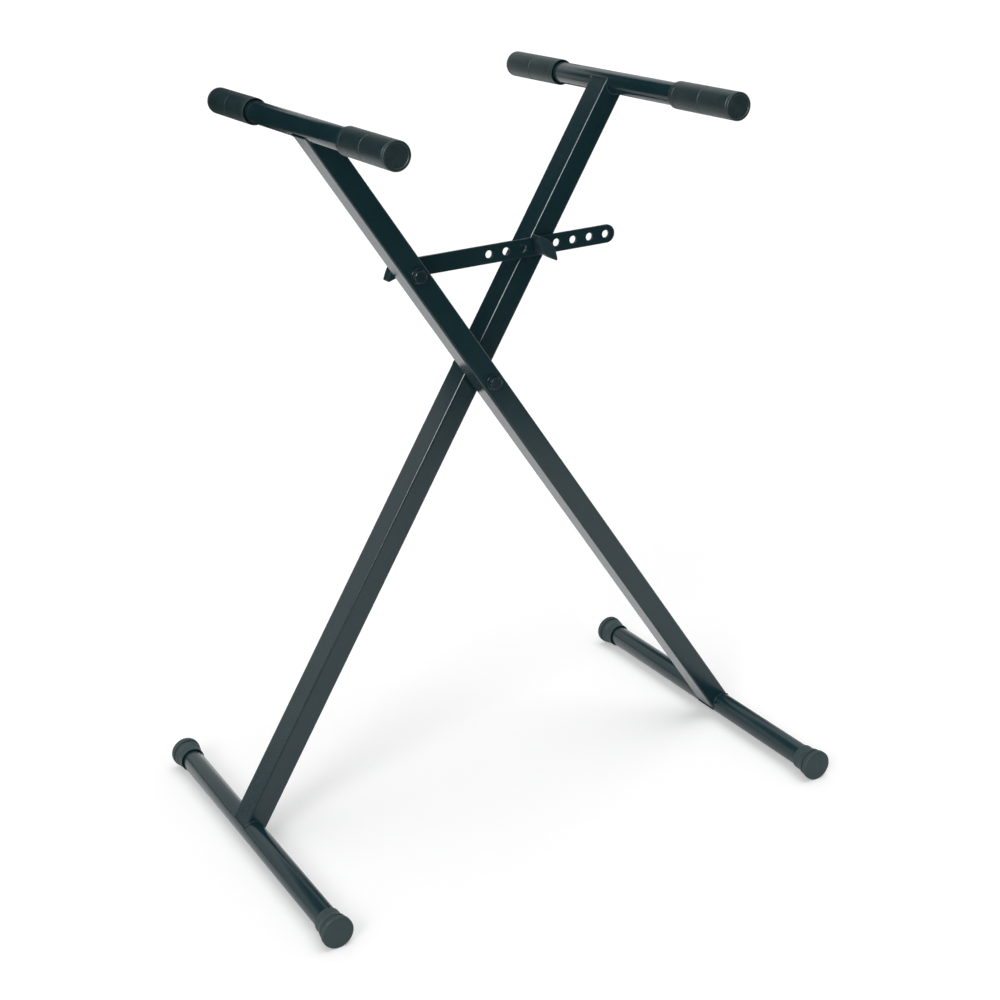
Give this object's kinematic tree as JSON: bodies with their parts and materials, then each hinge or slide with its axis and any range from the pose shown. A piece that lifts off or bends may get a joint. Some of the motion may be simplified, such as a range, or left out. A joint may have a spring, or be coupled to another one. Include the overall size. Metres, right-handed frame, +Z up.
{
  "type": "keyboard stand",
  "caption": "X-style keyboard stand: crossed box-tube legs on a pivot bolt, round bars with rubber caps and grips, and a drilled strap with wing knobs that sets the height.",
  "frame": {"origin": "on the floor, under the pivot bolt, at the bottom centre of the stand's box", "axes": "+Z up; +X along the spread of the legs, towards the front leg's foot; +Y along the bars, from the front leg to the rear leg"},
  "size_m": [0.6338, 0.43, 0.7921],
  "materials": {
    "coat": "dark green-black powder coat, semi-gloss",
    "rubber": "matt dark grey moulded rubber",
    "plastic": "dark moulded plastic, satin",
    "steel": "darkened plated steel fasteners",
    "nylon": "black nylon"
  },
  "bodies": {
    "front_leg": {"front_leg_tube": "coat", "front_foot_bar": "coat", "front_top_bar": "coat", "front_foot_weld": "coat", "front_top_weld": "coat", "front_foot_cap_near": "rubber", "front_foot_cap_far": "rubber", "front_top_grip_near": "rubber", "front_top_grip_far": "rubber", "pivot_bolt": "steel", "pivot_head_washer": "steel", "pivot_spacer": "nylon", "pivot_tail_washer": "steel", "pivot_lock_nut": "steel", "strap_bolt": "steel", "strap_bolt_head_washer": "steel", "strap_inner_washer": "steel"},
    "rear_leg": {"rear_leg_tube": "coat", "rear_foot_bar": "coat", "rear_top_bar": "coat", "rear_foot_weld": "coat", "rear_top_weld": "coat", "rear_foot_cap_near": "rubber", "rear_foot_cap_far": "rubber", "rear_top_grip_near": "rubber", "rear_top_grip_far": "rubber", "rear_threaded_insert": "steel"},
    "strap": {"strap": "coat"},
    "wing_nut_washer": {"strap_outer_washer": "steel"},
    "wing_nut": {"wing_nut": "plastic", "wing_nut_insert": "steel"},
    "wing_screw_washer": {"wing_screw_washer": "steel"},
    "wing_screw": {"wing_screw_head": "plastic", "wing_screw_stud": "steel"}
  },
  "joints": [
    {"name": "leg_fold", "type": "hinge", "parent": "front_leg", "child": "rear_leg", "pos_m": [0, 0, 0.48553], "axis": [0, 1, 0], "range_deg": [-52, 43.2]},
    {"name": "strap_swing", "type": "hinge", "parent": "front_leg", "child": "strap", "pos_m": [-0.083, 0, 0.61525], "axis": [0, 1, 0], "range_deg": [-26.5, 22]},
    {"name": "wing_nut_travel", "type": "slide", "parent": "front_leg", "child": "wing_nut_washer", "axis": [0, 1, 0], "range_m": [0, 0.00251]},
    {"name": "wing_nut_turn", "type": "hinge", "parent": "wing_nut_washer", "child": "wing_nut", "pos_m": [-0.083, 0.0037, 0.61525], "axis": [0, 1, 0], "range_deg": [0, 720]},
    {"name": "wing_screw_travel", "type": "slide", "parent": "strap", "child": "wing_screw_washer", "axis": [0, -1, 0], "range_m": [0, 0.00251]},
    {"name": "wing_screw_turn", "type": "hinge", "parent": "wing_screw_washer", "child": "wing_screw", "pos_m": [0.083, -0.0037, 0.61525], "axis": [0, -1, 0], "range_deg": [0, 720]}
  ],
  "couplings": [
    {"joint": "strap_swing", "follows": "leg_fold", "ratio": 0.5},
    {"joint": "wing_nut_travel", "follows": "wing_nut_turn", "m_per_rad": 0.00019894},
    {"joint": "wing_screw_travel", "follows": "wing_screw_turn", "m_per_rad": 0.00019894}
  ]
}
